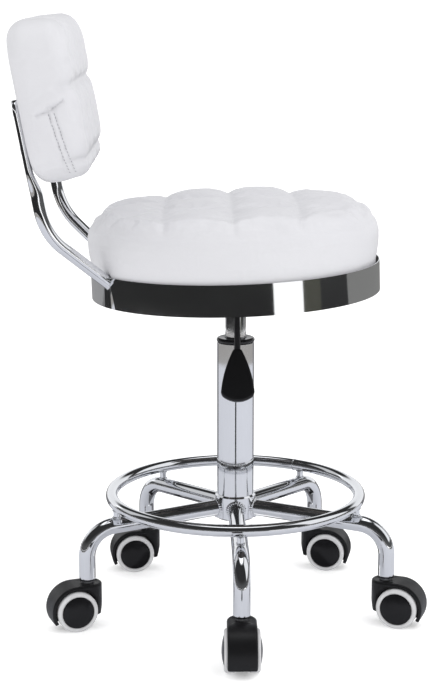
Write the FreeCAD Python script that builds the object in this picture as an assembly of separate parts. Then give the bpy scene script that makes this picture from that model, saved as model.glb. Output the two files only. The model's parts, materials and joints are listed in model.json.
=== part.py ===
"""Rolling stylist stool: five-legged chrome base, gas lift, round seat and small backrest.

Millimetres. +Z is up and +X is the way the sitter faces. The origin is on the
column's axis at floor level.
"""
import FreeCAD
import Part
import math
import os

from FreeCAD import Placement, Rotation, Vector

# Fits
RUN_GAP = 0.05            # radial clearance of a running fit
EASY_GAP = 0.4            # radial clearance round what must tilt or stay clear
SWIVEL_GAP = 1.0          # between a caster's collar and the socket above it

# Caster, which stands on the floor
WHEEL_OD = 55.0
WHEEL_WIDTH = 15.0
WHEEL_SIDE_GAP = 0.8      # between the web and the wheel's tread
WHEEL_BOSS_GAP = 0.4      # between the web and the wheel's boss
WHEEL_BOSS_WALL = 4.0
DISC_INSET = 1.0          # disc inside the tread's inner side
TREAD_DEPTH = 5.8
TREAD_LIP = 0.3           # fall of the tread's side towards the wheel's face
TREAD_EDGE = 2.2          # chamfer of the tread
CAP_INSET = 0.8           # rim of the wheel's face inside the tread's side
CAP_RISE = 4.0            # dome of the wheel's face
AXLE_OD = 6.0
AXLE_LENGTH = 40.0
AXLE_END_GAP = 0.3
TRAIL = 19.5              # axle behind the stem
WEB_WIDTH = 14.0
HOOD_WIDTH = 38.0
HOOD_WELL_GAP = 1.8       # round the wheel
HOOD_SHELL = 4.7
HOOD_ROUND = 3.0
HOOD_END_ANGLE = 28.0     # how far below the axle's level the trailing end reaches
HOOD_WALL = 25.5          # height of the upright wall on the stem side
HOOD_TOE = 5.0            # how far that wall's foot is cut in
HOOD_TOE_DROP = 41.5      # from the hood's top to the toe
STEM_OD = 11.0
STEM_LENGTH = 34.5        # above the hood
STEM_TIP = 2.0            # taper of the stem's tip
STEM_SUNK = 14.0
COLLAR_OD = 17.0
COLLAR_HEIGHT = 2.5
CASTER_TURNS = (-90.0, -20.0, -12.0, -172.0, -160.0)
WELL_RADIUS = WHEEL_OD / 2 + HOOD_WELL_GAP
HOOD_RADIUS = WELL_RADIUS + HOOD_SHELL
HOOD_TOP_Z = WHEEL_OD / 2 + HOOD_RADIUS

# Base, which stands on the casters
LEG_COUNT = 5
FIRST_LEG_AZIMUTH = -89.2
LEG_OD = 22.0
LEG_WALL = 1.5
LEG_FALL = 4.0            # slope of the straight run, in degrees
LEG_REACH = 211.0         # radius of the vertical ends
LEG_BEND = 40.0
LEG_DROP = 81.0           # from the hub's middle to the leg's end
SOCKET_LIP = 2.0
SOCKET_LIP_INSET = 0.5    # lip inside the leg's outer edge
SOCKET_DEPTH = 28.0
LEG_FOOT_Z = HOOD_TOP_Z + COLLAR_HEIGHT + SWIVEL_GAP + SOCKET_LIP
LEG_HUB_Z = LEG_FOOT_Z + LEG_DROP
RING_INSET = 2.0          # studs inside the end of the straight run
RING_OD = 16.0
RING_WALL = 1.2
RING_RISE = 16.0          # above the hub's middle
RING_RADIUS = LEG_REACH - LEG_BEND - RING_INSET
RING_Z = LEG_HUB_Z + RING_RISE
STUD_OD = 9.0
HUB_WALL = 2.5
HUB_HEIGHT = 34.0
HUB_ROUND = 3.0
HUB_CHAMFER = 1.75
HUB_FOOT_Z = LEG_HUB_Z - HUB_HEIGHT / 2

# Gas lift, which stands in the hub
TUBE_OD = 50.0            # stand tube
TUBE_WALL = 2.0
TUBE_LENGTH = 241.5
TUBE_FLOOR = 4.0
TUBE_LIFT = 3.0           # tube's foot above the hub's foot
TUBE_FOOT_Z = HUB_FOOT_Z + TUBE_LIFT
TUBE_TOP_Z = TUBE_FOOT_Z + TUBE_LENGTH
HUB_OD = TUBE_OD + 2 * HUB_WALL
BUSH_RIM_LIP = 0.75       # rim proud of the tube
BUSH_RIM_HEIGHT = 6.5
BUSH_RIM_SLOPE = 1.2      # fall of the rim's top towards the bore
BUSH_DEPTH = 62.0
BEARING_OD = 26.0
BEARING_HEIGHT = 6.0
CAGE_INSET = 2.0          # cage inside the races' outer edge
CAGE_BORE_GAP = 1.0
RACE_HEIGHT = 1.5
ROD_OD = 10.0
ROD_LENGTH = 182.0        # above the tube's foot
ROD_SHOULDER_OD = 14.0
ROD_SHOULDER_HEIGHT = 5.0
ROD_TAIL = 1.5            # below the clip's groove
PISTON_HEIGHT = 11.0
PISTON_GROOVE = 3.0       # height of the seal's groove
PISTON_GROOVE_DEPTH = 2.0
CLIP_THICKNESS = 1.5
CLIP_GAP = 0.3            # between the tube's floor and the clip
CLIP_GRIP = 1.0           # depth of the groove
CLIP_RIM = 3.0            # clip outside the rod
CLIP_MOUTH = 4.0
CYLINDER_OD = 28.0
CYLINDER_WALL = 1.5
CYLINDER_LENGTH = 261.0
CYLINDER_LIFT = 51.0      # cylinder's foot above the tube's foot, as set here
CYLINDER_HEAD = 12.0      # thickness of the gland at the cylinder's foot
CYLINDER_CHAMFER = 1.0
CONE_LENGTH = 32.0
CONE_DROP = 0.8           # what the cone's radius loses over its length
CONE_HEAD = 6.0           # solid metal below the cone
VALVE_OD = 8.0
VALVE_REACH = 6.5         # how far the release pin stands out of the cylinder
VALVE_BURIED = 20.0
VALVE_TRAVEL_GAP = 4.0    # room under the pin
VALVE_DOME = 1.2
CYLINDER_FOOT_Z = TUBE_FOOT_Z + CYLINDER_LIFT
CYLINDER_TOP_Z = CYLINDER_FOOT_Z + CYLINDER_LENGTH
ROD_TIP_Z = TUBE_FOOT_Z + ROD_LENGTH

# Seat, in its own level frame, which is then raked about a cross axis
SEAT_RAKE = 1.9
RAKE_RISE = 6.0           # cross axis above the cylinder's top
BOARD_RISE = 18.0         # board's underside above the cylinder's top
BOARD_THICKNESS = 12.0
BOARD_GAP = 0.5           # inside the band
BOLT_COVER = 2.0          # wood left above a bolt's tip
BAND_OD = 384.0
BAND_SHEET = 1.2
BAND_DROP = 19.5          # band's foot below the board
BAND_HEIGHT = 40.2
WAIST_GAP = 1.3           # between the band and the cushion's waist
WAIST_RISE = 2.0          # top of the waist above the band
CUSHION_OVERHANG = 2.0    # widest line outside the band
CUSHION_BULGE = 48.0      # height of the widest line above the board
CUSHION_SHOULDER = 77.0   # height of the top panel's edge above the board
CUSHION_CROWN = 97.0      # height of the crown above the board
CUSHION_TOP_ROUND = 34.0  # how far in the top panel's edge stands
CUSHION_ROUND_DROP = 18.7 # height of the rounded shoulder
CUSHION_TAPER = 2.0       # how far the shoulder stands in from the widest line
RAKE_Z = CYLINDER_TOP_Z + RAKE_RISE
BOARD_FOOT_Z = CYLINDER_TOP_Z + BOARD_RISE
BOARD_TOP_Z = BOARD_FOOT_Z + BOARD_THICKNESS
BAND_FOOT_Z = BOARD_FOOT_Z - BAND_DROP
BAND_BORE = BAND_OD / 2 - BAND_SHEET
BOARD_RADIUS = BAND_BORE - BOARD_GAP
CUSHION_WAIST = BAND_BORE - WAIST_GAP
CUSHION_RADIUS = BAND_OD / 2 + CUSHION_OVERHANG

# Plate under the board, a pressed tray with a flange
PLATE_LENGTH = 124.0
PLATE_WIDTH = 130.0
PLATE_SHEET = 2.5
PLATE_CORNER = 10.0
TRAY_LENGTH = 84.0
TRAY_WIDTH = 84.0
TRAY_DEPTH = 29.0
TRAY_CORNER = 12.0
PLATE_BOLT_INSET = 10.0
CONE_SOCKET_OD = 33.0
CONE_SOCKET_LENGTH = 33.5
CONE_SOCKET_LIP = 2.0
CONE_SOCKET_FOOT_Z = CYLINDER_TOP_Z - CONE_SOCKET_LENGTH

# Bolts
BOLT_OD = 6.0
BOLT_HEAD_OD = 12.0
BOLT_HEAD_HEIGHT = 3.5
SCREW_OD = 5.0            # countersunk, through the backrest's flats
SCREW_HEAD_OD = 11.0

# Lever
LEVER_OD = 8.0
LEVER_GAP = 0.3           # above the release pin
LEVER_TAIL_Y = 14.0
LEVER_ELBOW_Y = -54.0
LEVER_BEND = 14.0
LEVER_SLOPE = 65.0        # below the level, in degrees
LEVER_LENGTH = 150.5      # from elbow to paddle tip along the slope
LEVER_SUNK = 27.0         # rod inside the paddle
PADDLE_LENGTH = 68.0
PADDLE_END = 9.5          # from the widest line to the tip
PADDLE_WIDTH = 44.0
PADDLE_FLANK = 28.5       # from the neck to a point on the swelling side
PADDLE_FLANK_WIDTH = 33.4
PADDLE_NECK = 11.0
PADDLE_THICKNESS = 11.0
PADDLE_CORNER = 9.0
PADDLE_SIDE_ROUND = 3.0

# Back tubes, each in an upright plane through the column
BACK_TUBE_OD = 16.0
BACK_TUBE_WALL = 1.2
BACK_TUBE_AZIMUTH = 30.0  # from straight back
FLAT_THICKNESS = 9.0
FLAT_WIDTH = 21.0
FLAT_BLEND = 14.0         # length of the change from round to flat
INNER_FLAT_INSET = 54.0   # outer end of the bolted run inside the band
INNER_FLAT_LENGTH = 52.0
INNER_BOLT_STEPS = (7.0, 28.0)    # from the bolted run's inner end
RISE_INSET = 28.0         # inside the band, where the tube starts to climb
RISE_BEND = 26.0
ELBOW_REACH = 83.0        # outside the band
ELBOW_RISE = 84.0         # above the board's underside
ELBOW_BEND = 38.0
UPRIGHT_LEAN = 8.5
BOARD_SLOT_GAP = 1.0
BOARD_SLOT_LEAD = 8.0     # slot's end inside the start of the climb
NOTCH_GAP = 0.6
INNER_FLAT_END = BAND_OD / 2 - INNER_FLAT_INSET
INNER_FLAT_START = INNER_FLAT_END - INNER_FLAT_LENGTH
INNER_BOLTS = tuple(INNER_FLAT_START + step for step in INNER_BOLT_STEPS)
RISE_START = BAND_OD / 2 - RISE_INSET
ELBOW_RADIUS = BAND_OD / 2 + ELBOW_REACH
ELBOW_Z = BOARD_FOOT_Z + ELBOW_RISE

# Backrest, in a frame that leans with the uprights
REST_WIDTH = 360.0
REST_START = 61.0         # along the upright from the elbow
REST_LENGTH = 201.0
REST_DEPTH = 74.0
REST_CORNER = 55.0
REST_ROUND = 22.0
REST_SKIN = 4.0           # padding behind the board
REST_BOARD_INSET = 34.0
REST_BOARD_THICKNESS = 9.0
REST_BOARD_CORNER = 24.0
UPPER_FLAT_LEAD = 20.0    # start of the upper flat above the cushion's lower edge
UPPER_FLAT_LENGTH = 88.0
UPPER_BOLT_STEPS = (46.0, 92.0)   # from the cushion's lower edge
UPPER_FLAT_START = REST_START + UPPER_FLAT_LEAD
UPRIGHT_LENGTH = UPPER_FLAT_START + UPPER_FLAT_LENGTH
UPPER_BOLTS = tuple(REST_START + step for step in UPPER_BOLT_STEPS)

UP = Vector(0, 0, 1)
DIAGONAL = math.sqrt(0.5)
SAME = 0.01               # two lengths closer than this are taken as one


# Shapes that several pieces share

def rod(radius, foot, top, direction=None):
    """A round bar from the point foot to the point top."""
    run = top - foot
    return Part.makeCylinder(radius, run.Length, foot, direction or run)


def collar(outer, inner, foot_z, top_z):
    """A ring about the column's axis."""
    body = rod(outer, Vector(0, 0, foot_z), Vector(0, 0, top_z))
    return body.cut(rod(inner, Vector(0, 0, foot_z), Vector(0, 0, top_z)))


def turned(profile):
    """A closed profile of edges in the XZ plane, turned about Z."""
    return Part.Face(Part.Wire(profile)).revolve(Vector(0, 0, 0), UP, 360)


def lines(points):
    """Straight edges from point to point."""
    return [Part.LineSegment(a, b).toShape() for a, b in zip(points, points[1:])]


def arc(start, middle, end):
    return Part.Arc(start, middle, end).toShape()


def dome(rim, crown):
    """An arc from a rim point in the XZ plane to a crown on Z, level where it meets Z."""
    rise = crown.z - rim.z
    sphere = (rim.x ** 2 + rise ** 2) / (2 * rise)
    centre_z = crown.z - sphere
    half = math.asin(rim.x / abs(sphere)) / 2
    middle = Vector(abs(sphere) * math.sin(half), 0, centre_z + sphere * math.cos(half))
    return arc(rim, middle, crown)


def bent_wire(corners, radii):
    """A wire through the corners, with a tangent arc at each inner one."""
    edges = []
    start = corners[0]
    for before, corner, after, radius in zip(corners, corners[1:], corners[2:], radii):
        arrive = Vector(before - corner).normalize()
        leave = Vector(after - corner).normalize()
        half_turn = (math.pi - arrive.getAngle(leave)) / 2
        inward = Vector(arrive + leave).normalize()
        trim = radius * math.tan(half_turn)
        middle = corner + inward * (radius / math.cos(half_turn) - radius)
        edges.append(Part.LineSegment(start, corner + arrive * trim).toShape())
        edges.append(arc(corner + arrive * trim, middle, corner + leave * trim))
        start = corner + leave * trim
    edges.append(Part.LineSegment(start, corners[-1]).toShape())
    return Part.Wire(edges)


def pipe(wire, radius):
    """A round bar along a wire that starts with a straight run."""
    first = wire.Edges[0]
    start = first.valueAt(first.FirstParameter)
    circle = Part.Circle(start, first.tangentAt(first.FirstParameter), radius)
    return wire.makePipeShell([Part.Wire(circle.toShape())], True, True)


def round_section(centre, across, through, radius):
    """A circle as four arcs, to match a flattened section edge for edge."""
    def at(degrees):
        turn = math.radians(degrees)
        return centre + across * (radius * math.cos(turn)) + through * (radius * math.sin(turn))
    return Part.Wire([arc(at(a), at(a - 45), at(a - 90)) for a in (135, 45, -45, -135)])


def flat_section(centre, across, through, width, thickness):
    """A squashed tube: two flats joined by half-round edges."""
    reach = across * ((width - thickness) / 2)
    half = through * (thickness / 2)
    edge = across * (thickness / 2)
    top_left = centre - reach + half
    top_right = centre + reach + half
    low_right = centre + reach - half
    low_left = centre - reach - half
    return Part.Wire([
        Part.LineSegment(top_left, top_right).toShape(),
        arc(top_right, centre + reach + edge, low_right),
        Part.LineSegment(low_right, low_left).toShape(),
        arc(low_left, centre - reach - edge, top_left),
    ])


def rounded_slab(length, width, corner, foot, thickness):
    """A flat plate with rounded corners, centred on Z, standing on the height foot."""
    x, y = length / 2 - corner, width / 2 - corner
    slab = Part.makeBox(2 * x, width, thickness, Vector(-x, -width / 2, foot))
    slab = slab.fuse(Part.makeBox(length, 2 * y, thickness, Vector(-length / 2, -y, foot)))
    for sx in (-1, 1):
        for sy in (-1, 1):
            slab = slab.fuse(rod(corner, Vector(sx * x, sy * y, foot),
                                 Vector(sx * x, sy * y, foot + thickness)))
    return slab.removeSplitter()


def radial(radius, azimuth, z):
    """The point at a radius and an azimuth, in degrees."""
    turn = math.radians(azimuth)
    return Vector(radius * math.cos(turn), radius * math.sin(turn), z)


def turn_about_z(shape, azimuth, centre=Vector(0, 0, 0)):
    copy = shape.copy()
    copy.rotate(Vector(0, 0, 0), UP, azimuth)
    copy.translate(centre)
    return copy


def rake(shape):
    """Tip a seat piece back about the cross axis."""
    copy = shape.copy()
    copy.rotate(Vector(0, 0, RAKE_Z), Vector(0, 1, 0), -SEAT_RAKE)
    return copy


# Gas lift

def stand_tube():
    """Outer tube of the lift, with a floor that the rod is clipped through."""
    tube = collar(TUBE_OD / 2, TUBE_OD / 2 - TUBE_WALL, TUBE_FOOT_Z, TUBE_TOP_Z)
    floor = collar(TUBE_OD / 2 - TUBE_WALL, ROD_OD / 2 + RUN_GAP, TUBE_FOOT_Z, TUBE_FOOT_Z + TUBE_FLOOR)
    return tube.fuse(floor).removeSplitter()


def guide_bush():
    """Moulded bush: a sleeve inside the tube and a fat round-edged rim on its top."""
    bore = CYLINDER_OD / 2 + RUN_GAP
    sleeve = TUBE_OD / 2 - TUBE_WALL
    rim = TUBE_OD / 2 + BUSH_RIM_LIP
    foot, seat, top = TUBE_TOP_Z - BUSH_DEPTH, TUBE_TOP_Z, TUBE_TOP_Z + BUSH_RIM_HEIGHT
    turn = BUSH_RIM_HEIGHT / 2
    profile = lines([Vector(bore, 0, foot), Vector(sleeve, 0, foot), Vector(sleeve, 0, seat),
                     Vector(rim - turn, 0, seat)])
    profile.append(arc(Vector(rim - turn, 0, seat), Vector(rim, 0, seat + turn), Vector(rim - turn, 0, top)))
    profile += lines([Vector(rim - turn, 0, top), Vector(bore, 0, top - BUSH_RIM_SLOPE),
                      Vector(bore, 0, foot)])
    return turned(profile)


def rod_levels():
    """Heights of the floor's top and the shoulder that stands on the bearing."""
    floor_top = TUBE_FOOT_Z + TUBE_FLOOR
    return floor_top, floor_top + BEARING_HEIGHT


def clip_levels():
    """Foot and top of the clip's groove, just below the tube's floor."""
    top = TUBE_FOOT_Z - CLIP_GAP
    return top - CLIP_THICKNESS, top


def piston_rod():
    """Rod with a shoulder on the bearing, a clip groove below the floor, and the piston."""
    _, shoulder = rod_levels()
    groove_foot, groove_top = clip_levels()
    radius = ROD_OD / 2
    piston = CYLINDER_OD / 2 - CYLINDER_WALL - RUN_GAP
    piston_foot = ROD_TIP_Z - PISTON_HEIGHT
    seal_foot = ROD_TIP_Z - (PISTON_HEIGHT + PISTON_GROOVE) / 2
    shaft = rod(radius, Vector(0, 0, groove_foot - ROD_TAIL), Vector(0, 0, piston_foot))
    shaft = shaft.fuse(rod(ROD_SHOULDER_OD / 2, Vector(0, 0, shoulder),
                           Vector(0, 0, shoulder + ROD_SHOULDER_HEIGHT)))
    shaft = shaft.fuse(rod(piston, Vector(0, 0, piston_foot), Vector(0, 0, ROD_TIP_Z)))
    shaft = shaft.cut(collar(piston + RUN_GAP, piston - PISTON_GROOVE_DEPTH, seal_foot,
                             seal_foot + PISTON_GROOVE))
    return shaft.cut(collar(radius + RUN_GAP, radius - CLIP_GRIP, groove_foot, groove_top)).removeSplitter()


def rod_clip():
    """Open spring clip in the rod's groove."""
    foot, top = clip_levels()
    outer = ROD_OD / 2 + CLIP_RIM
    mouth = Part.makeBox(outer, CLIP_MOUTH, CLIP_THICKNESS, Vector(0, -CLIP_MOUTH / 2, foot))
    return collar(outer, ROD_OD / 2 - CLIP_GRIP, foot, top).cut(mouth)


def thrust_bearing():
    """Two races with a ball cage between them, under the rod's shoulder."""
    floor_top, shoulder = rod_levels()
    bore = ROD_OD / 2 + RUN_GAP
    lower = collar(BEARING_OD / 2, bore, floor_top, floor_top + RACE_HEIGHT)
    cage = collar(BEARING_OD / 2 - CAGE_INSET, bore + CAGE_BORE_GAP, floor_top + RACE_HEIGHT,
                  shoulder - RACE_HEIGHT)
    upper = collar(BEARING_OD / 2, bore, shoulder - RACE_HEIGHT, shoulder)
    return lower.fuse(cage).fuse(upper).removeSplitter()


def cone_edges(gap, reach):
    """The cone's sloping side, a gap wider than the cone and run on past both ends by reach."""
    slope = CONE_DROP / CONE_LENGTH
    foot_z = CYLINDER_TOP_Z - CONE_LENGTH
    wide = Vector(CYLINDER_OD / 2 + gap + slope * reach, 0, foot_z - reach)
    narrow = Vector(CYLINDER_OD / 2 + gap - CONE_DROP - slope * reach, 0, CYLINDER_TOP_Z + reach)
    return wide, narrow


def gas_cylinder():
    """Pressure cylinder: gland at the foot, long bore, solid head with a tapered outside."""
    outer, inner = CYLINDER_OD / 2, CYLINDER_OD / 2 - CYLINDER_WALL
    wide, narrow = cone_edges(0, 0)
    bore_foot = CYLINDER_FOOT_Z + CYLINDER_HEAD
    bore_top = wide.z - CONE_HEAD
    body = turned(lines([
        Vector(0, 0, CYLINDER_FOOT_Z), Vector(outer - CYLINDER_CHAMFER, 0, CYLINDER_FOOT_Z),
        Vector(outer, 0, CYLINDER_FOOT_Z + CYLINDER_CHAMFER), wide, narrow,
        Vector(0, 0, CYLINDER_TOP_Z), Vector(0, 0, CYLINDER_FOOT_Z)]))
    body = body.cut(rod(inner, Vector(0, 0, bore_foot), Vector(0, 0, bore_top)))
    body = body.cut(rod(ROD_OD / 2 + RUN_GAP, Vector(0, 0, CYLINDER_FOOT_Z), Vector(0, 0, bore_foot)))
    valve_foot = CYLINDER_TOP_Z - VALVE_BURIED - VALVE_TRAVEL_GAP
    return body.cut(rod(VALVE_OD / 2 + RUN_GAP, Vector(0, 0, valve_foot), Vector(0, 0, CYLINDER_TOP_Z)))


def valve_pin():
    """Release pin with a domed top."""
    radius = VALVE_OD / 2
    top = CYLINDER_TOP_Z + VALVE_REACH
    foot = CYLINDER_TOP_Z - VALVE_BURIED
    rim = Vector(radius, 0, top - VALVE_DOME)
    crown = Vector(0, 0, top)
    profile = lines([crown, Vector(0, 0, foot), Vector(radius, 0, foot), rim])
    profile.append(dome(rim, crown))
    return turned(profile)


# Base

def hub():
    """Steel ring round the tube's foot, with rounded ends."""
    outer, inner = HUB_OD / 2, TUBE_OD / 2
    foot, top = HUB_FOOT_Z, HUB_FOOT_Z + HUB_HEIGHT
    edge = HUB_CHAMFER
    return turned(lines([
        Vector(inner, 0, foot), Vector(outer - edge, 0, foot), Vector(outer, 0, foot + HUB_ROUND),
        Vector(outer, 0, top - edge), Vector(outer - edge, 0, top), Vector(inner, 0, top),
        Vector(inner, 0, foot)]))


def leg_centre_z(radius):
    """Height of the straight run's centre at a radius."""
    return LEG_HUB_Z - radius * math.tan(math.radians(LEG_FALL))


def leg():
    """Bent tube towards +X, its inner end shaped to the hub."""
    corners = [Vector(0, 0, leg_centre_z(0)), Vector(LEG_REACH, 0, leg_centre_z(LEG_REACH)),
               Vector(LEG_REACH, 0, LEG_FOOT_Z)]
    path = bent_wire(corners, [LEG_BEND])
    tube = pipe(path, LEG_OD / 2).cut(pipe(path, LEG_OD / 2 - LEG_WALL))
    core = rod(HUB_OD / 2, Vector(0, 0, 0), Vector(0, 0, 2 * LEG_HUB_Z))
    return tube.cut(core)


def leg_socket():
    """Plastic sleeve in the tube's end, with a thin lip, bored for the stem."""
    bore = STEM_OD / 2 + RUN_GAP
    sleeve = rod(LEG_OD / 2 - LEG_WALL, Vector(LEG_REACH, 0, LEG_FOOT_Z),
                 Vector(LEG_REACH, 0, LEG_FOOT_Z + SOCKET_DEPTH))
    lip = rod(LEG_OD / 2 - SOCKET_LIP_INSET, Vector(LEG_REACH, 0, LEG_FOOT_Z - SOCKET_LIP),
              Vector(LEG_REACH, 0, LEG_FOOT_Z))
    hole = rod(bore, Vector(LEG_REACH, 0, LEG_FOOT_Z - SOCKET_LIP),
               Vector(LEG_REACH, 0, LEG_FOOT_Z + SOCKET_DEPTH))
    return sleeve.fuse(lip).cut(hole).removeSplitter()


def foot_ring():
    """Hollow ring of round tube."""
    ring = Part.makeTorus(RING_RADIUS, RING_OD / 2, Vector(0, 0, RING_Z))
    return ring.cut(Part.makeTorus(RING_RADIUS, RING_OD / 2 - RING_WALL, Vector(0, 0, RING_Z)))


def ring_stud():
    """Short post from the leg's top to the ring's underside, shaped to both."""
    start, end = Vector(0, 0, leg_centre_z(0)), Vector(LEG_REACH, 0, leg_centre_z(LEG_REACH))
    post = rod(STUD_OD / 2, Vector(RING_RADIUS, 0, leg_centre_z(RING_RADIUS)),
               Vector(RING_RADIUS, 0, RING_Z))
    post = post.cut(rod(LEG_OD / 2, start, end))
    return post.cut(Part.makeTorus(RING_RADIUS, RING_OD / 2, Vector(0, 0, RING_Z)))


def leg_azimuth(index):
    return FIRST_LEG_AZIMUTH + index * 360.0 / LEG_COUNT


def round_the_base(shape):
    """One copy of a piece for each leg."""
    return [turn_about_z(shape, leg_azimuth(index)) for index in range(LEG_COUNT)]


# Caster, with its stem on Z and trailing towards +X

AXLE = Vector(TRAIL, 0, WHEEL_OD / 2)


def hood():
    """Moulded cover: a fender over each wheel, a web between them and a boss for the stem."""
    half = HOOD_WIDTH / 2
    end = math.radians(HOOD_END_ANGLE)
    tip = AXLE + Vector(HOOD_RADIUS * math.cos(end), 0, -HOOD_RADIUS * math.sin(end))
    tip_inside = AXLE + Vector(WELL_RADIUS * math.cos(end), 0, -WELL_RADIUS * math.sin(end))
    crest = AXLE + Vector(0, 0, HOOD_RADIUS)
    shoulder = AXLE + Vector(HOOD_RADIUS * math.cos(math.pi / 4), 0, HOOD_RADIUS * math.sin(math.pi / 4))
    toe_z = HOOD_TOP_Z - HOOD_TOE_DROP
    outline = lines([crest, Vector(-half, 0, HOOD_TOP_Z), Vector(-half, 0, HOOD_TOP_Z - HOOD_WALL),
                     Vector(HOOD_TOE - half, 0, toe_z), Vector(0, 0, toe_z), tip_inside, tip])
    outline.append(arc(tip, shoulder, crest))
    side = Part.Face(Part.Wire(outline))
    side.translate(Vector(0, -half, 0))
    blank = side.extrude(Vector(0, HOOD_WIDTH, 0))
    plan = rod(half, Vector(0, 0, 0), Vector(0, 0, HOOD_TOP_Z))
    plan = plan.fuse(Part.makeBox(AXLE.x + HOOD_RADIUS, HOOD_WIDTH, HOOD_TOP_Z, Vector(0, -half, 0)))
    blank = blank.common(plan.removeSplitter()).removeSplitter()
    soft = [edge for edge in blank.Edges if is_hood_rim(edge, half)]
    blank = blank.makeFillet(HOOD_ROUND, soft)
    for sign in (-1, 1):
        well = rod(WELL_RADIUS, AXLE + Vector(0, sign * WEB_WIDTH / 2, 0),
                   AXLE + Vector(0, sign * HOOD_WIDTH, 0))
        blank = blank.cut(well)
    blank = blank.cut(rod(STEM_OD / 2, Vector(0, 0, HOOD_TOP_Z - STEM_SUNK), Vector(0, 0, HOOD_TOP_Z)))
    bore = Vector(0, WEB_WIDTH, 0)
    return blank.cut(rod(AXLE_OD / 2, AXLE - bore, AXLE + bore))


def is_hood_rim(edge, half):
    """Whether an edge runs along the upper rim, where the sides meet the top."""
    middle = edge.valueAt((edge.FirstParameter + edge.LastParameter) / 2)
    tip_z = AXLE.z - HOOD_RADIUS * math.sin(math.radians(HOOD_END_ANGLE))
    above = middle.z > tip_z + HOOD_SHELL
    on_side = abs(abs(middle.y) - half) < SAME and middle.x > 0
    on_nose = middle.x < SAME and abs(middle.z - HOOD_TOP_Z) < SAME
    steep = abs(edge.tangentAt(edge.FirstParameter).z) > 1 - SAME
    upright = steep and edge.Curve.TypeId == "Part::GeomLine"
    return above and (on_side or on_nose) and not upright


def pins():
    """Steel stem with a collar, and the axle through the web."""
    radius = STEM_OD / 2
    foot, top = HOOD_TOP_Z - STEM_SUNK, HOOD_TOP_Z + STEM_LENGTH
    stem = turned(lines([
        Vector(0, 0, foot), Vector(radius, 0, foot), Vector(radius, 0, HOOD_TOP_Z),
        Vector(COLLAR_OD / 2, 0, HOOD_TOP_Z), Vector(COLLAR_OD / 2, 0, HOOD_TOP_Z + COLLAR_HEIGHT),
        Vector(radius, 0, HOOD_TOP_Z + COLLAR_HEIGHT), Vector(radius, 0, top - STEM_TIP),
        Vector(radius - STEM_TIP, 0, top), Vector(0, 0, top), Vector(0, 0, foot)]))
    reach = Vector(0, AXLE_LENGTH / 2, 0)
    return Part.makeCompound([stem, rod(AXLE_OD / 2, AXLE - reach, AXLE + reach)])


def on_axle(shape, sign):
    """Put a piece that was turned about Z onto the axle, facing left (+Y) or right (-Y)."""
    copy = shape.copy()
    copy.rotate(Vector(0, 0, 0), Vector(1, 0, 0), -90 * sign)
    copy.translate(AXLE)
    return copy


def wheel():
    """Black core turned about Z: hub boss, disc and domed face, blind bored for the axle."""
    bore = AXLE_OD / 2 + RUN_GAP
    rim = WHEEL_OD / 2 - TREAD_DEPTH
    boss = bore + WHEEL_BOSS_WALL
    inner = WEB_WIDTH / 2 + WHEEL_BOSS_GAP
    disc = WEB_WIDTH / 2 + WHEEL_SIDE_GAP + DISC_INSET
    face = WEB_WIDTH / 2 + WHEEL_SIDE_GAP + WHEEL_WIDTH - CAP_INSET
    bore_end = AXLE_LENGTH / 2 + AXLE_END_GAP
    crown = face + CAP_RISE
    profile = lines([Vector(0, 0, crown), Vector(0, 0, bore_end), Vector(bore, 0, bore_end),
                     Vector(bore, 0, inner), Vector(boss, 0, inner), Vector(boss, 0, disc),
                     Vector(rim, 0, disc), Vector(rim, 0, face)])
    profile.append(dome(Vector(rim, 0, face), Vector(0, 0, crown)))
    return turned(profile)


def tread():
    """Grey tyre turned about Z."""
    inner, outer = WHEEL_OD / 2 - TREAD_DEPTH, WHEEL_OD / 2
    near = WEB_WIDTH / 2 + WHEEL_SIDE_GAP
    far = near + WHEEL_WIDTH
    return turned(lines([
        Vector(inner, 0, near + DISC_INSET), Vector(outer - TREAD_EDGE, 0, near),
        Vector(outer, 0, near + TREAD_EDGE),
        Vector(outer, 0, far - TREAD_EDGE), Vector(outer - TREAD_EDGE, 0, far),
        Vector(inner, 0, far - TREAD_LIP), Vector(inner, 0, near + DISC_INSET)]))


def caster_nodes():
    """Every caster's nodes, each caster turned its own way on its stem."""
    pieces = {"hood": hood(), "pins": pins()}
    for side, sign in (("left", 1), ("right", -1)):
        pieces["wheel_" + side] = on_axle(wheel(), sign)
        pieces["tread_" + side] = on_axle(tread(), sign)
    nodes = {}
    for index, turn in enumerate(CASTER_TURNS):
        stem = radial(LEG_REACH, leg_azimuth(index), 0)
        for piece, shape in pieces.items():
            nodes["caster_%d_%s" % (index + 1, piece)] = turn_about_z(shape, turn, stem)
    return nodes


# Back tubes, in the seat's level frame; side is -1 for the sitter's right and 1 for the left

TUBE_RADIUS = BACK_TUBE_OD / 2
LEAN = math.radians(UPRIGHT_LEAN)
UPRIGHT = Vector(-math.sin(LEAN), 0, math.cos(LEAN))
FORWARD = Vector(math.cos(LEAN), 0, math.sin(LEAN))
FLAT_OFFSET = FLAT_THICKNESS / 2 - TUBE_RADIUS   # from the round tube's axis to the upper flat's


def tube_azimuth(side):
    return 180 - side * BACK_TUBE_AZIMUTH


def tube_elbow(side):
    return radial(ELBOW_RADIUS, tube_azimuth(side), ELBOW_Z)


def back_tube_path(side):
    """Centre line of the round part: level, up and out past the seat's edge, then upright."""
    azimuth = tube_azimuth(side)
    level = BOARD_FOOT_Z - TUBE_RADIUS
    elbow = tube_elbow(side)
    return [radial(INNER_FLAT_END, azimuth, level), radial(RISE_START, azimuth, level),
            elbow, elbow + UPRIGHT * (UPPER_FLAT_START - FLAT_BLEND)]


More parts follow.
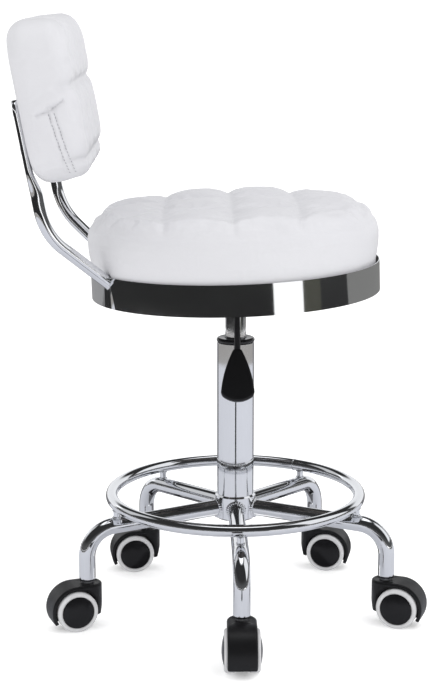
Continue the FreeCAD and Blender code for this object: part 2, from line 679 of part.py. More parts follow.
def back_tube(side):
    """Bent tube, squashed flat for its bolts under the board and again behind the backrest."""
    azimuth = tube_azimuth(side)
    inward, across = radial(-1, azimuth, 0), radial(1, azimuth + 90, 0)
    corners = back_tube_path(side)
    climb = Vector(corners[2] - corners[1]).normalize()
    rise_trim = RISE_BEND * math.tan(climb.getAngle(inward * -1) / 2)
    level_end = corners[1] + inward * rise_trim
    path = bent_wire([level_end + inward, corners[1], corners[2], corners[3]], [RISE_BEND, ELBOW_BEND])
    body = pipe(path, TUBE_RADIUS)

    flat_z = BOARD_FOOT_Z - FLAT_THICKNESS / 2
    flat_end = radial(INNER_FLAT_END - FLAT_BLEND, azimuth, flat_z)
    flat_start = radial(INNER_FLAT_START, azimuth, flat_z)
    sections = [round_section(level_end + inward, across, UP, TUBE_RADIUS),
                flat_section(flat_end, across, UP, FLAT_WIDTH, FLAT_THICKNESS)]
    body = body.fuse(Part.makeLoft(sections, True, True))
    body = body.fuse(Part.Face(sections[1]).extrude(flat_start - flat_end))
    body = body.fuse(rod(FLAT_WIDTH / 2, flat_start - UP * (FLAT_THICKNESS / 2),
                         flat_start + UP * (FLAT_THICKNESS / 2)))

    sideways = Vector(0, 1, 0)
    upper_start = tube_elbow(side) + UPRIGHT * UPPER_FLAT_START + FORWARD * FLAT_OFFSET
    upper_end = upper_start + UPRIGHT * (UPRIGHT_LENGTH - UPPER_FLAT_START - FLAT_WIDTH / 2)
    sections = [round_section(corners[3], sideways, FORWARD, TUBE_RADIUS),
                flat_section(upper_start, sideways, FORWARD, FLAT_WIDTH, FLAT_THICKNESS)]
    body = body.fuse(Part.makeLoft(sections, True, True))
    body = body.fuse(Part.Face(sections[1]).extrude(upper_end - upper_start))
    half = FORWARD * (FLAT_THICKNESS / 2)
    body = body.fuse(rod(FLAT_WIDTH / 2, upper_end - half, upper_end + half))

    body = body.removeSplitter().cut(pipe(path, TUBE_RADIUS - BACK_TUBE_WALL))
    for start, end in inner_bolt_axes(side):
        body = body.cut(rod(BOLT_OD / 2, start, end))
    for start, end in upper_bolt_axes(side):
        body = body.cut(countersunk_screw(start, end))
    return body


def inner_bolt_axes(side):
    """Each inner bolt from the flat's underside up into the board."""
    low = BOARD_FOOT_Z - FLAT_THICKNESS
    azimuth = tube_azimuth(side)
    return [(radial(radius, azimuth, low), radial(radius, azimuth, BOARD_TOP_Z - BOLT_COVER))
            for radius in INNER_BOLTS]


def upper_bolt_axes(side):
    """Each backrest screw from the flat's back face forward into the backrest board."""
    axes = []
    for along in UPPER_BOLTS:
        back = tube_elbow(side) + UPRIGHT * along - FORWARD * TUBE_RADIUS
        reach = FLAT_THICKNESS + REST_SKIN + REST_BOARD_THICKNESS - BOLT_COVER
        axes.append((back, back + FORWARD * reach))
    return axes


def bolt(start, end):
    """Shank from start to end, with a low domed head behind start."""
    radius, head_radius = BOLT_OD / 2, BOLT_HEAD_OD / 2
    shaft = Vector(end - start).normalize()
    length = (end - start).Length
    rim, crown = Vector(head_radius, 0, 0), Vector(0, 0, -BOLT_HEAD_HEIGHT)
    piece = turned(lines([crown, Vector(0, 0, length), Vector(radius, 0, length), Vector(radius, 0, 0), rim])
                   + [dome(rim, crown)])
    piece.Placement = Placement(start, Rotation(UP, shaft))
    return piece


def countersunk_screw(start, end):
    """Screw whose flat head ends flush at start."""
    radius, head = SCREW_OD / 2, SCREW_HEAD_OD / 2
    length = (end - start).Length
    piece = turned(lines([Vector(0, 0, 0), Vector(0, 0, length), Vector(radius, 0, length),
                          Vector(radius, 0, head - radius), Vector(head, 0, 0), Vector(0, 0, 0)]))
    piece.Placement = Placement(start, Rotation(UP, Vector(end - start).normalize()))
    return piece


def both_sides(fastener, axes_of_side):
    """One fastener on each axis of both back tubes, as one group."""
    return Part.makeCompound([fastener(start, end) for side in (-1, 1) for start, end in axes_of_side(side)])


# Seat, in its level frame

def tube_clearance(gap):
    """The space that both climbing tubes need."""
    spaces = [pipe(bent_wire(back_tube_path(side), [RISE_BEND, ELBOW_BEND]), TUBE_RADIUS + gap)
              for side in (-1, 1)]
    return spaces[0].fuse(spaces[1])


def plate_bolt_axes():
    x, y = PLATE_LENGTH / 2 - PLATE_BOLT_INSET, PLATE_WIDTH / 2 - PLATE_BOLT_INSET
    low = BOARD_FOOT_Z - PLATE_SHEET
    return [(Vector(sx * x, sy * y, low), Vector(sx * x, sy * y, BOARD_TOP_Z - BOLT_COVER))
            for sx in (-1, 1) for sy in (-1, 1)]


def seat_board():
    """Round plywood board with an open slot for each tube and holes for the bolts."""
    board = rod(BOARD_RADIUS, Vector(0, 0, BOARD_FOOT_Z), Vector(0, 0, BOARD_TOP_Z))
    width = BACK_TUBE_OD + 2 * BOARD_SLOT_GAP
    for side in (-1, 1):
        slot = Part.makeBox(BOARD_RADIUS, width, BOARD_THICKNESS,
                            Vector(RISE_START - BOARD_SLOT_LEAD, -width / 2, BOARD_FOOT_Z))
        board = board.cut(turn_about_z(slot, tube_azimuth(side)))
    for side in (-1, 1):
        for start, end in inner_bolt_axes(side):
            board = board.cut(rod(BOLT_OD / 2, start, end))
    for start, end in plate_bolt_axes():
        board = board.cut(rod(BOLT_OD / 2, start, end))
    return board


def seat_plate():
    """Pressed tray with a flange: the socket stands in its floor and the lever in its side."""
    flange_foot = BOARD_FOOT_Z - PLATE_SHEET
    tray_foot = BOARD_FOOT_Z - TRAY_DEPTH
    plate = rounded_slab(PLATE_LENGTH, PLATE_WIDTH, PLATE_CORNER, flange_foot, PLATE_SHEET)
    plate = plate.fuse(rounded_slab(TRAY_LENGTH, TRAY_WIDTH, TRAY_CORNER, tray_foot, TRAY_DEPTH))
    hollow = rounded_slab(TRAY_LENGTH - 2 * PLATE_SHEET, TRAY_WIDTH - 2 * PLATE_SHEET,
                          TRAY_CORNER - PLATE_SHEET, tray_foot + PLATE_SHEET, TRAY_DEPTH)
    plate = plate.cut(hollow)
    for start, end in plate_bolt_axes():
        plate = plate.cut(rod(BOLT_OD / 2, start, end))
    plate = rake(plate.removeSplitter())
    plate = plate.cut(rod(CONE_SOCKET_OD / 2, Vector(0, 0, CONE_SOCKET_FOOT_Z),
                          Vector(0, 0, CYLINDER_TOP_Z)))
    wall = Vector(0, -TRAY_WIDTH / 2 - 1, lever_z())
    return plate.cut(rod(LEVER_OD / 2 + EASY_GAP, wall, wall + Vector(0, PLATE_SHEET + 2, 0)))


def cone_socket():
    """Tapered socket with a lip, welded through the tray's floor on the column's axis."""
    wide, narrow = cone_edges(RUN_GAP, 10)
    outer = CONE_SOCKET_OD / 2
    foot, top = CONE_SOCKET_FOOT_Z, CYLINDER_TOP_Z
    body = rod(outer, Vector(0, 0, foot), Vector(0, 0, top))
    cone = turned(lines([Vector(0, 0, wide.z), wide, narrow, Vector(0, 0, narrow.z), Vector(0, 0, wide.z)]))
    edge = [e for e in body.Edges if abs(e.BoundBox.ZMax - foot) < SAME and e.BoundBox.ZLength < SAME]
    return body.makeChamfer(CONE_SOCKET_LIP / 2, edge).cut(cone)


def seat_band():
    """Thin bright band with a rounded notch in its top edge for each tube."""
    foot, top = BAND_FOOT_Z, BAND_FOOT_Z + BAND_HEIGHT
    band = collar(BAND_OD / 2, BAND_BORE, foot, top)
    return band.cut(tube_clearance(NOTCH_GAP))


def seat_cushion():
    """Upholstered pad: a waist inside the band, a bulge above it and a low crown."""
    foot = BOARD_TOP_Z
    waist_top = BAND_FOOT_Z + BAND_HEIGHT + WAIST_RISE
    bulge = Vector(CUSHION_RADIUS, 0, foot + CUSHION_BULGE)
    shoulder = Vector(CUSHION_RADIUS - CUSHION_TAPER, 0, foot + CUSHION_SHOULDER - CUSHION_ROUND_DROP)
    edge_in = Vector(CUSHION_RADIUS - CUSHION_TOP_ROUND, 0, foot + CUSHION_SHOULDER)
    turn = edge_in + Vector(shoulder.x - edge_in.x, 0, 0) * DIAGONAL
    turn.z = shoulder.z + (edge_in.z - shoulder.z) * DIAGONAL
    crown = Vector(0, 0, foot + CUSHION_CROWN)
    profile = lines([Vector(0, 0, foot), Vector(CUSHION_WAIST, 0, foot),
                     Vector(CUSHION_WAIST, 0, waist_top)])
    low = Vector(CUSHION_RADIUS - CUSHION_TAPER / 2, 0, (waist_top + bulge.z) / 2)
    profile.append(arc(Vector(CUSHION_WAIST, 0, waist_top), low, bulge))
    profile += lines([bulge, shoulder])
    profile.append(arc(shoulder, turn, edge_in))
    profile.append(dome(edge_in, crown))
    profile += lines([crown, Vector(0, 0, foot)])
    return turned(profile).cut(tube_clearance(EASY_GAP))


# Lever, not raked

def lever_z():
    """Height of the lever's level run, just above the release pin."""
    return CYLINDER_TOP_Z + VALVE_REACH + LEVER_GAP + LEVER_OD / 2


def lever_line():
    """The elbow and the unit direction of the sloping run."""
    slope = math.radians(LEVER_SLOPE)
    return Vector(0, LEVER_ELBOW_Y, lever_z()), Vector(0, -math.cos(slope), -math.sin(slope))


def lever_rod():
    """Bent rod, from over the release pin out through the tray's wall and down."""
    elbow, down = lever_line()
    tip = elbow + down * (LEVER_LENGTH - PADDLE_LENGTH + LEVER_SUNK)
    corners = [Vector(0, LEVER_TAIL_Y, lever_z()), elbow, tip]
    return pipe(bent_wire(corners, [LEVER_BEND]), LEVER_OD / 2)


def lever_paddle():
    """Drop-shaped grip, narrow at the rod and widest near its end, with a socket for the rod."""
    neck, half, thick = PADDLE_NECK / 2, PADDLE_WIDTH / 2, PADDLE_THICKNESS / 2
    wide = PADDLE_LENGTH - PADDLE_END
    flank = Vector(PADDLE_FLANK, PADDLE_FLANK_WIDTH / 2, -thick)
    outline = [
        arc(Vector(0, neck, -thick), flank, Vector(wide, half, -thick)),
        arc(Vector(wide, half, -thick), Vector(PADDLE_LENGTH, 0, -thick), Vector(wide, -half, -thick)),
        arc(Vector(wide, -half, -thick), Vector(flank.x, -flank.y, -thick), Vector(0, -neck, -thick)),
    ] + lines([Vector(0, -neck, -thick), Vector(0, neck, -thick)])
    grip = Part.Face(Part.Wire(outline)).extrude(Vector(0, 0, PADDLE_THICKNESS))
    posts = [e for e in grip.Edges if e.BoundBox.ZLength > thick]
    grip = grip.makeFillet(PADDLE_CORNER, [e for e in posts if e.BoundBox.XMin > wide / 2])
    rims = [e for e in grip.Edges if e.BoundBox.ZLength < SAME and e.BoundBox.XMax > SAME]
    grip = grip.makeFillet(PADDLE_SIDE_ROUND, rims)
    elbow, down = lever_line()
    across = Vector(1, 0, 0)
    out = across.cross(down)
    start = elbow + down * (LEVER_LENGTH - PADDLE_LENGTH)
    turn = Rotation(down, across, out, "XYZ")
    grip.Placement = Placement(start, turn)
    return grip.cut(lever_rod())


# Backrest, leaning with the uprights

def rest_slab(length, width, corner, along, back, thickness):
    """A rounded slab across the uprights: along is its lower edge, back is its distance forward."""
    slab = rounded_slab(length, width, corner, 0, thickness)
    middle = Vector(-ELBOW_RADIUS * math.cos(math.radians(BACK_TUBE_AZIMUTH)), 0, ELBOW_Z)
    middle = middle + UPRIGHT * (along + length / 2) + FORWARD * back
    slab.Placement = Placement(middle, Rotation(UPRIGHT, Vector(0, 1, 0) * -1, FORWARD, "XYZ"))
    return slab


def rest_back():
    """Distance of the cushion's back face in front of the round tubes' axis."""
    return FLAT_OFFSET + FLAT_THICKNESS / 2


def backrest_board():
    """Plywood board inside the padding, drilled for the screws."""
    return rest_slab(REST_LENGTH - 2 * REST_BOARD_INSET, REST_WIDTH - 2 * REST_BOARD_INSET, REST_BOARD_CORNER,
                     REST_START + REST_BOARD_INSET, rest_back() + REST_SKIN, REST_BOARD_THICKNESS)


def backrest_cushion():
    """Padded slab with rounded edges, closed round the board and pressed in by the round tubes."""
    pad = rest_slab(REST_LENGTH, REST_WIDTH, REST_CORNER, REST_START, rest_back(), REST_DEPTH)
    rims = [e for e in pad.Edges if abs(e.tangentAt(e.FirstParameter).dot(FORWARD)) < SAME]
    pad = pad.makeFillet(REST_ROUND, rims).cut(backrest_board())
    return pad.cut(back_tube(-1)).cut(back_tube(1))


def with_screw_holes(shape):
    for side in (-1, 1):
        for start, end in upper_bolt_axes(side):
            shape = shape.cut(rod(SCREW_OD / 2, start, end))
    return shape


def build():
    nodes = {
        "stand_tube": stand_tube(),
        "guide_bush": guide_bush(),
        "thrust_bearing": thrust_bearing(),
        "piston_rod": piston_rod(),
        "rod_clip": rod_clip(),
        "gas_cylinder": gas_cylinder(),
        "valve_pin": valve_pin(),
        "hub": hub(),
        "foot_ring": turn_about_z(foot_ring(), FIRST_LEG_AZIMUTH),
        "ring_studs": Part.makeCompound(round_the_base(ring_stud())),
        "leg_sockets": Part.makeCompound(round_the_base(leg_socket())),
        "seat_plate": seat_plate(),
        "cone_socket": cone_socket(),
        "lever_rod": lever_rod(),
        "lever_paddle": lever_paddle(),
    }
    for index, shape in enumerate(round_the_base(leg())):
        nodes["leg_%d" % (index + 1)] = shape
    nodes.update(caster_nodes())
    plate_bolts = [bolt(start, end) for start, end in plate_bolt_axes()]
    raked = {
        "seat_board": seat_board(),
        "plate_bolts": Part.makeCompound(plate_bolts),
        "seat_band": seat_band(),
        "seat_cushion": seat_cushion(),
        "back_tube_right": back_tube(-1),
        "back_tube_left": back_tube(1),
        "tube_bolts": both_sides(bolt, inner_bolt_axes),
        "backrest_screws": both_sides(countersunk_screw, upper_bolt_axes),
        "backrest_board": with_screw_holes(backrest_board()),
        "backrest_cushion": with_screw_holes(backrest_cushion()),
    }
    for name, shape in raked.items():
        nodes[name] = rake(shape)
    return nodes


os.makedirs("parts", exist_ok=True)
for name, shape in build().items():
    shape.exportStep(os.path.join("parts", name + ".step"))
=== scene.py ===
import bpy
import json
import math
from mathutils import Matrix, Vector


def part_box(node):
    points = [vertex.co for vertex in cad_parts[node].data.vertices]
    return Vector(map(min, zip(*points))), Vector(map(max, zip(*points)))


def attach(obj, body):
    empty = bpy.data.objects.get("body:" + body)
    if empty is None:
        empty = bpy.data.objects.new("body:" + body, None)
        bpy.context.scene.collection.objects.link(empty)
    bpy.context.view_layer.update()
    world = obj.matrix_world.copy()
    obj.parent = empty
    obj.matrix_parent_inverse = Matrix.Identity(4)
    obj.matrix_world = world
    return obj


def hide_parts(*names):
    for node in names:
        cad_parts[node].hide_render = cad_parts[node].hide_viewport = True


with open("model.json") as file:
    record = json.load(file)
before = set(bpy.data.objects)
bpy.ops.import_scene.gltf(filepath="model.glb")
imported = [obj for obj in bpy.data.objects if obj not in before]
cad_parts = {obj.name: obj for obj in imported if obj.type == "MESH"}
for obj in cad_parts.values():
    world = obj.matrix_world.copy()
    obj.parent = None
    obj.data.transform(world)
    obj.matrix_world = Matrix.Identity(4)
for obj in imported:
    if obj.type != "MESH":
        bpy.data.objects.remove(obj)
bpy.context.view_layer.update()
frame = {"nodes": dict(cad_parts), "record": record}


# Hub: a short steel ring that the five legs are welded to. Like the whole base it is polished
# and chromed, so it mirrors the studio, with a faint haze from polishing.

class Shade:
    """A shader socket that takes part in sums like a number."""

    def __init__(self, nodes, socket):
        self.nodes = nodes
        self.socket = socket

    def calculate(self, operation, *operands):
        return self.nodes.node("Math", {"operation": operation}, dict(enumerate(operands)))

    def __add__(self, other):
        return self.calculate("ADD", self, other)

    def __sub__(self, other):
        return self.calculate("SUBTRACT", self, other)

    def __rsub__(self, other):
        return self.calculate("SUBTRACT", other, self)

    def __mul__(self, other):
        return self.calculate("MULTIPLY", self, other)

    __radd__ = __add__
    __rmul__ = __mul__

    def between(self, low, high):
        """0 below low, 1 above high and a smooth rise between them."""
        return self.nodes.node("MapRange", {"interpolation_type": "SMOOTHSTEP"},
                               {"Value": self, "From Min": low, "From Max": high})


class Nodes:
    """A node tree that is written as expressions."""

    def __init__(self, tree):
        self.tree = tree

    def feed(self, socket, value):
        if isinstance(value, Shade):
            self.tree.links.new(value.socket, socket)
        else:
            socket.default_value = value

    def node(self, kind, settings=(), sockets=(), output=0):
        made = self.tree.nodes.new("ShaderNode" + kind)
        for name, value in dict(settings).items():
            setattr(made, name, value)
        for name, value in dict(sockets).items():
            self.feed(made.inputs[name], value)
        return Shade(self, made.outputs[output])

    def place(self):
        return self.node("TexCoord", output=3)

    def stretched(self, scale):
        """Object coordinates, drawn out along the axes with a low scale."""
        return self.node("Mapping", {}, {"Vector": self.place(), "Scale": scale})

    def noise(self, scale, detail=3.0, roughness=0.5, vector=None):
        return self.node("TexNoise", {}, {"Vector": vector or self.place(), "Scale": scale,
                                          "Detail": detail, "Roughness": roughness})

    def bump(self, height, strength, distance):
        return self.node("Bump", {}, {"Height": height, "Strength": strength, "Distance": distance})

    def blend(self, amount, low, high):
        """One colour turning into another."""
        return self.node("MixRGB", {}, {"Fac": amount, "Color1": low, "Color2": high})


class Finish(Nodes):
    """One material, made node by node round its Principled shader."""

    def __init__(self, name, slot, **constants):
        self.material = bpy.data.materials.new(name)
        self.material.use_nodes = True
        super().__init__(self.material.node_tree)
        self.slot = slot
        self.surface = self.tree.nodes["Principled BSDF"]
        self.drive(**constants)

    def drive(self, **sockets):
        for socket, value in sockets.items():
            self.feed(self.surface.inputs[socket.replace("_", " ")], value)

    def dress(self, *nodes):
        """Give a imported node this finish."""
        for name in nodes:
            frame["nodes"][name].material_slots[0].material = self.material


def select(*pieces):
    """Select these pieces alone, the first one active."""
    bpy.ops.object.select_all(action="DESELECT")
    for piece in pieces:
        piece.select_set(True)
    bpy.context.view_layer.objects.active = pieces[0]


def edit(piece, everything=True):
    """Open a piece for editing, with all of it selected or none of it."""
    select(piece)
    bpy.ops.object.mode_set(mode="EDIT")
    bpy.ops.mesh.select_all(action="SELECT" if everything else "DESELECT")


def close(piece):
    """Weld doubled points, turn all faces outwards and leave edit mode."""
    bpy.ops.mesh.select_all(action="SELECT")
    bpy.ops.mesh.remove_doubles(threshold=0.000005)
    bpy.ops.mesh.normals_make_consistent(inside=False)
    bpy.ops.object.mode_set(mode="OBJECT")
    return piece


def modify(piece, kind, **settings):
    """Apply one modifier."""
    select(piece)
    modifier = piece.modifiers.new(kind.lower(), kind)
    for name, value in settings.items():
        setattr(modifier, name, value)
    bpy.ops.object.modifier_apply(modifier=modifier.name)


def soften(piece, width, segments=3):
    """Round the sharp edges."""
    modify(piece, "BEVEL", width=width, segments=segments, limit_method="ANGLE",
           angle_limit=math.radians(35.0))


def join(*pieces):
    """Make one piece of several."""
    select(*pieces)
    if len(pieces) > 1:
        bpy.ops.object.join()
    return pieces[0]


def fit(piece, name, finish, body, *nodes):
    """Name and finish a piece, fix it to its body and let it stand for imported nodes."""
    piece.name = name
    piece.data.name = name
    piece.data.materials.clear()
    piece.data.materials.append(finish.material)
    select(piece)
    bpy.ops.object.shade_smooth_by_angle(angle=math.radians(40.0))
    modify(piece, "WEIGHTED_NORMAL", keep_sharp=True)
    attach(piece, body)
    if nodes:
        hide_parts(*nodes)
    return piece


def lathe(profile, segments=96):
    """Turn a profile of (radius, height) points about Z."""
    bpy.ops.object.select_all(action="DESELECT")
    bpy.ops.mesh.primitive_plane_add(size=0.001)
    piece = bpy.context.object
    bpy.ops.object.mode_set(mode="EDIT")
    bpy.ops.mesh.merge(type="CENTER")
    bpy.ops.transform.translate(value=(profile[0][0], 0.0, profile[0][1]))
    for (radius, height), (next_radius, next_height) in zip(profile, profile[1:]):
        step = (next_radius - radius, 0.0, next_height - height)
        bpy.ops.mesh.extrude_vertices_move(TRANSFORM_OT_translate={"value": step})
    bpy.ops.mesh.select_all(action="SELECT")
    bpy.ops.mesh.spin(steps=segments, angle=2.0 * math.pi, center=(0.0, 0.0, 0.0), axis=(0.0, 0.0, 1.0))
    return close(piece)


chrome = Finish("chrome_plate", "chrome", Metallic=1.0, Base_Color=(0.86, 0.87, 0.89, 1.0))
haze = chrome.noise(30.0, 4.0)
ripple = chrome.noise(9.0, 1.0)
chrome.drive(Roughness=haze * 0.05 + 0.03, Normal=chrome.bump(ripple, 0.08, 0.002))

hub_low, hub_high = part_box("hub")
hub_radius = hub_high.x
tube_radius = 0.025
hub_chamfer = 0.0022
hub_edge = 0.0008
hub = lathe([(tube_radius, hub_low.z), (hub_radius - hub_chamfer, hub_low.z),
             (hub_radius, hub_low.z + hub_chamfer), (hub_radius, hub_high.z - hub_chamfer),
             (hub_radius - hub_chamfer, hub_high.z), (tube_radius, hub_high.z),
             (tube_radius, hub_low.z)])
soften(hub, hub_edge)
fit(hub, "welded_hub", chrome, "base", "hub")


# Five legs: chromed steel tube that slopes gently down from the hub, bends and ends upright over
# its caster. Each is welded round its inner end, and the weld's ripples stay visible.
leg_tube = 0.011
leg_wall = 0.0015
leg_edge = 0.0004
leg_bend = 0.040
leg_fall = math.radians(4.0)
leg_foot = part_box("leg_1")[0].z
leg_hub_height = (hub_low.z + hub_high.z) / 2.0
joints = {joint["name"]: joint for joint in frame["record"]["behaviour"]["joints"]}
stems = [Vector(joints["caster_%d_swivel" % n]["pos_m"]) for n in range(1, 6)]
leg_reach = stems[0].to_2d().length
weld_radius = 0.0024
weld_clearance = 0.0004
weld_ripples = 26
ripple_height = 0.12


def bent_leg():
    """A leg towards +X, built from its inner end outwards."""
    turn = math.pi / 2.0 - leg_fall
    corner_height = leg_hub_height - leg_reach * math.tan(leg_fall)
    trim = leg_bend * math.tan(turn / 2.0)
    run = leg_reach - trim * math.cos(leg_fall) - tube_radius
    start = Vector((tube_radius, 0.0, leg_hub_height - tube_radius * math.tan(leg_fall)))
    centre = Vector((leg_reach - leg_bend, 0.0, corner_height - trim))
    bpy.ops.object.select_all(action="DESELECT")
    bpy.ops.mesh.primitive_circle_add(vertices=40, radius=leg_tube, location=start,
                                      rotation=(0.0, math.pi / 2.0 + leg_fall, 0.0))
    leg = bpy.context.object
    bpy.ops.object.transform_apply()
    bpy.ops.object.mode_set(mode="EDIT")
    bpy.ops.mesh.select_all(action="SELECT")
    step = Vector((run, 0.0, -run * math.tan(leg_fall)))
    bpy.ops.mesh.extrude_region_move(TRANSFORM_OT_translate={"value": step})
    bpy.ops.mesh.spin(steps=16, angle=-turn, center=centre, axis=(0.0, 1.0, 0.0))
    drop = centre.z - leg_foot
    bpy.ops.mesh.extrude_region_move(TRANSFORM_OT_translate={"value": (0.0, 0.0, -drop)})
    close(leg)
    modify(leg, "SOLIDIFY", thickness=leg_wall, offset=-1.0)
    soften(leg, leg_edge, segments=2)
    return leg


def weld_bead(radius, minor, ripples):
    """A rippled bead round Z, whose ripples rise by a share of its thickness."""
    bpy.ops.object.select_all(action="DESELECT")
    bpy.ops.mesh.primitive_torus_add(major_radius=radius, minor_radius=minor, major_segments=ripples * 4,
                                     minor_segments=10)
    bead = bpy.context.object
    for point in bead.data.vertices:
        around = math.atan2(point.co.y, point.co.x)
        ring = Vector((math.cos(around), math.sin(around), 0.0)) * radius
        point.co = ring + (point.co - ring) * (1.0 + ripple_height * math.sin(around * ripples))
    return bead


def leg_weld():
    """The bead where a leg meets the hub's round side."""
    bead = weld_bead(leg_tube + weld_clearance, weld_radius, weld_ripples)
    bead.data.transform(Matrix.Rotation(math.pi / 2.0, 4, "Y"))
    height = leg_hub_height - hub_radius * math.tan(leg_fall)
    for point in bead.data.vertices:
        point.co.x += math.sqrt(hub_radius ** 2 - point.co.y ** 2)
        point.co.z += height
    return bead


def turned_copy(piece, azimuth):
    """A copy with its own mesh, turned about the column."""
    copy = piece.copy()
    copy.data = piece.data.copy()
    bpy.context.collection.objects.link(copy)
    copy.data.transform(Matrix.Rotation(azimuth, 4, "Z"))
    return copy


leg_pattern = join(bent_leg(), leg_weld())
for n, stem in enumerate(stems, 1):
    leg = turned_copy(leg_pattern, math.atan2(stem.y, stem.x))
    fit(leg, "chromed_leg_%d" % n, chrome, "base", "leg_%d" % n)
bpy.data.objects.remove(leg_pattern)


# Foot ring: a hoop of round tube, butt welded once, that stands on five short studs.
ring_low, ring_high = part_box("foot_ring")
ring_tube = (ring_high.z - ring_low.z) / 2.0
ring_height = (ring_high.z + ring_low.z) / 2.0
ring_radius = ring_high.x - ring_tube
joint_azimuth = math.radians(58.0)
joint_bead = 0.0007
joint_ripples = 20
bpy.ops.object.select_all(action="DESELECT")
bpy.ops.mesh.primitive_torus_add(major_radius=ring_radius, minor_radius=ring_tube, major_segments=180,
                                 minor_segments=28, location=(0.0, 0.0, ring_height))
hoop = bpy.context.object
bpy.ops.object.transform_apply()
butt = weld_bead(ring_tube, joint_bead, joint_ripples)
butt.data.transform(Matrix.Rotation(joint_azimuth, 4, "Z")
                    @ Matrix.Translation((ring_radius, 0.0, ring_height))
                    @ Matrix.Rotation(math.pi / 2.0, 4, "X"))
ring = join(hoop, butt)
fit(ring, "foot_hoop", chrome, "base", "foot_ring")

stud_radius = 0.0045
stud_overlap = 0.001
stud_bead = 0.0013
stud_bead_clearance = 0.0003
stud_ripples = 12
leg_bead_sink = 0.0002
ring_bead_sink = 0.0006
leg_top = leg_hub_height - ring_radius * math.tan(leg_fall) + leg_tube
stud_beads = []
for height in (leg_top - leg_bead_sink, ring_low.z + ring_bead_sink):
    bead = weld_bead(stud_radius + stud_bead_clearance, stud_bead, stud_ripples)
    bead.data.transform(Matrix.Translation((ring_radius, 0.0, height)))
    stud_beads.append(bead)
stud_foot = leg_top - stud_overlap
stud_head = ring_low.z + stud_overlap
stud = lathe([(0.0, stud_foot), (stud_radius, stud_foot), (stud_radius, stud_head), (0.0, stud_head)], 32)
stud.data.transform(Matrix.Translation((ring_radius, 0.0, 0.0)))
stud_pattern = join(stud, *stud_beads)
studs = [turned_copy(stud_pattern, math.atan2(stem.y, stem.x)) for stem in stems]
bpy.data.objects.remove(stud_pattern)
fit(join(*studs), "hoop_studs", chrome, "base", "ring_studs")


# Gas lift: the chromed outer tube stands in the hub, and the bright cylinder slides in a black
# moulded bush whose fat rim closes the tube's top.
tube_low, tube_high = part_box("stand_tube")
tube_wall = 0.002
tube_edge = 0.0004
tube_bore = tube_radius - tube_wall
tube_floor = tube_low.z + 0.004
rod_hole = 0.006
outer_tube = lathe([(tube_bore, tube_floor), (rod_hole, tube_floor), (rod_hole, tube_low.z),
                    (tube_radius, tube_low.z), (tube_radius, tube_high.z), (tube_bore, tube_high.z),
                    (tube_bore, tube_floor)], 128)
soften(outer_tube, tube_edge, segments=2)
fit(outer_tube, "outer_tube", chrome, "base", "stand_tube")

gloss = Finish("black_gloss_moulding", "black_gloss", Base_Color=(0.008, 0.008, 0.009, 1.0))
gloss.drive(Roughness=gloss.noise(60.0) * 0.12 + 0.1,
            Normal=gloss.bump(gloss.noise(240.0), 0.06, 0.001))
bush_low, bush_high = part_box("guide_bush")
cylinder_radius = 0.014
rim_radius = bush_high.x
rim_foot = tube_high.z + 0.0001
rim_round = (bush_high.z - rim_foot) / 2.0
rim = [(rim_radius - rim_round + rim_round * math.cos(a), rim_foot + rim_round + rim_round * math.sin(a))
       for a in (math.radians(step) for step in range(-90, 91, 15))]
bush_bore = cylinder_radius + 0.0002
mouth_width = 0.0012
mouth_top = bush_high.z - 0.0006
mouth_foot = bush_high.z - 0.002
bush = lathe([(tube_bore, bush_low.z), (tube_bore, rim_foot)] + rim
             + [(bush_bore + mouth_width, mouth_top), (bush_bore, mouth_foot), (bush_bore, bush_low.z),
                (tube_bore, bush_low.z)], 96)
fit(bush, "bush_rim", gloss, "base", "guide_bush")

cylinder_low, cylinder_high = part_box("gas_cylinder")
cylinder_chamfer = 0.001
cone_length = 0.032
cone_top = cylinder_radius - 0.0008
valve_mouth = 0.0045
valve_bore = 0.0042
valve_floor = cylinder_high.z - 0.002
cylinder = lathe([(0.0, cylinder_low.z), (cylinder_radius - cylinder_chamfer, cylinder_low.z),
                  (cylinder_radius, cylinder_low.z + cylinder_chamfer),
                  (cylinder_radius, cylinder_high.z - cone_length), (cone_top, cylinder_high.z),
                  (valve_mouth, cylinder_high.z), (valve_bore, valve_floor), (0.0, valve_floor)], 96)
fit(cylinder, "lift_cylinder", chrome, "seat", "gas_cylinder")


# Inside the lift and under the seat: a turned rod on its bearing, its clip, the release pin and
# the fastenings, all zinc plated steel with a dull, slightly cloudy finish.
zinc = Finish("zinc_plate", "zinc_steel", Metallic=1.0)
cloud = zinc.noise(70.0, 5.0)
zinc.drive(Base_Color=zinc.blend(cloud, (0.50, 0.51, 0.53, 1.0), (0.66, 0.67, 0.68, 1.0)),
           Roughness=cloud * 0.25 + 0.22, Normal=zinc.bump(zinc.noise(900.0), 0.1, 0.0004))
zinc.dress("thrust_bearing", "piston_rod", "rod_clip", "valve_pin", "plate_bolts", "tube_bolts",
           "backrest_screws")


# Seat mechanism: a pressed plate bolted under the board, its taper socket and the bent lever rod,
# all in black powder paint with a fine orange peel.
paint = Finish("black_powder_paint", "black_paint", Base_Color=(0.012, 0.012, 0.014, 1.0))
paint.drive(Roughness=paint.noise(120.0) * 0.2 + 0.35, Normal=paint.bump(paint.noise(1400.0), 0.25, 0.0004))
paint.dress("seat_plate")


def smooth_copy(node, name, finish, body):
    """A welded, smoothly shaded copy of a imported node, which it stands for."""
    piece = bpy.data.objects.new(name, frame["nodes"][node].data.copy())
    bpy.context.collection.objects.link(piece)
    edit(piece)
    close(piece)
    return fit(piece, name, finish, body, node)


smooth_copy("cone_socket", "taper_socket", paint, "seat")
smooth_copy("lever_rod", "bent_lever_rod", paint, "lever")


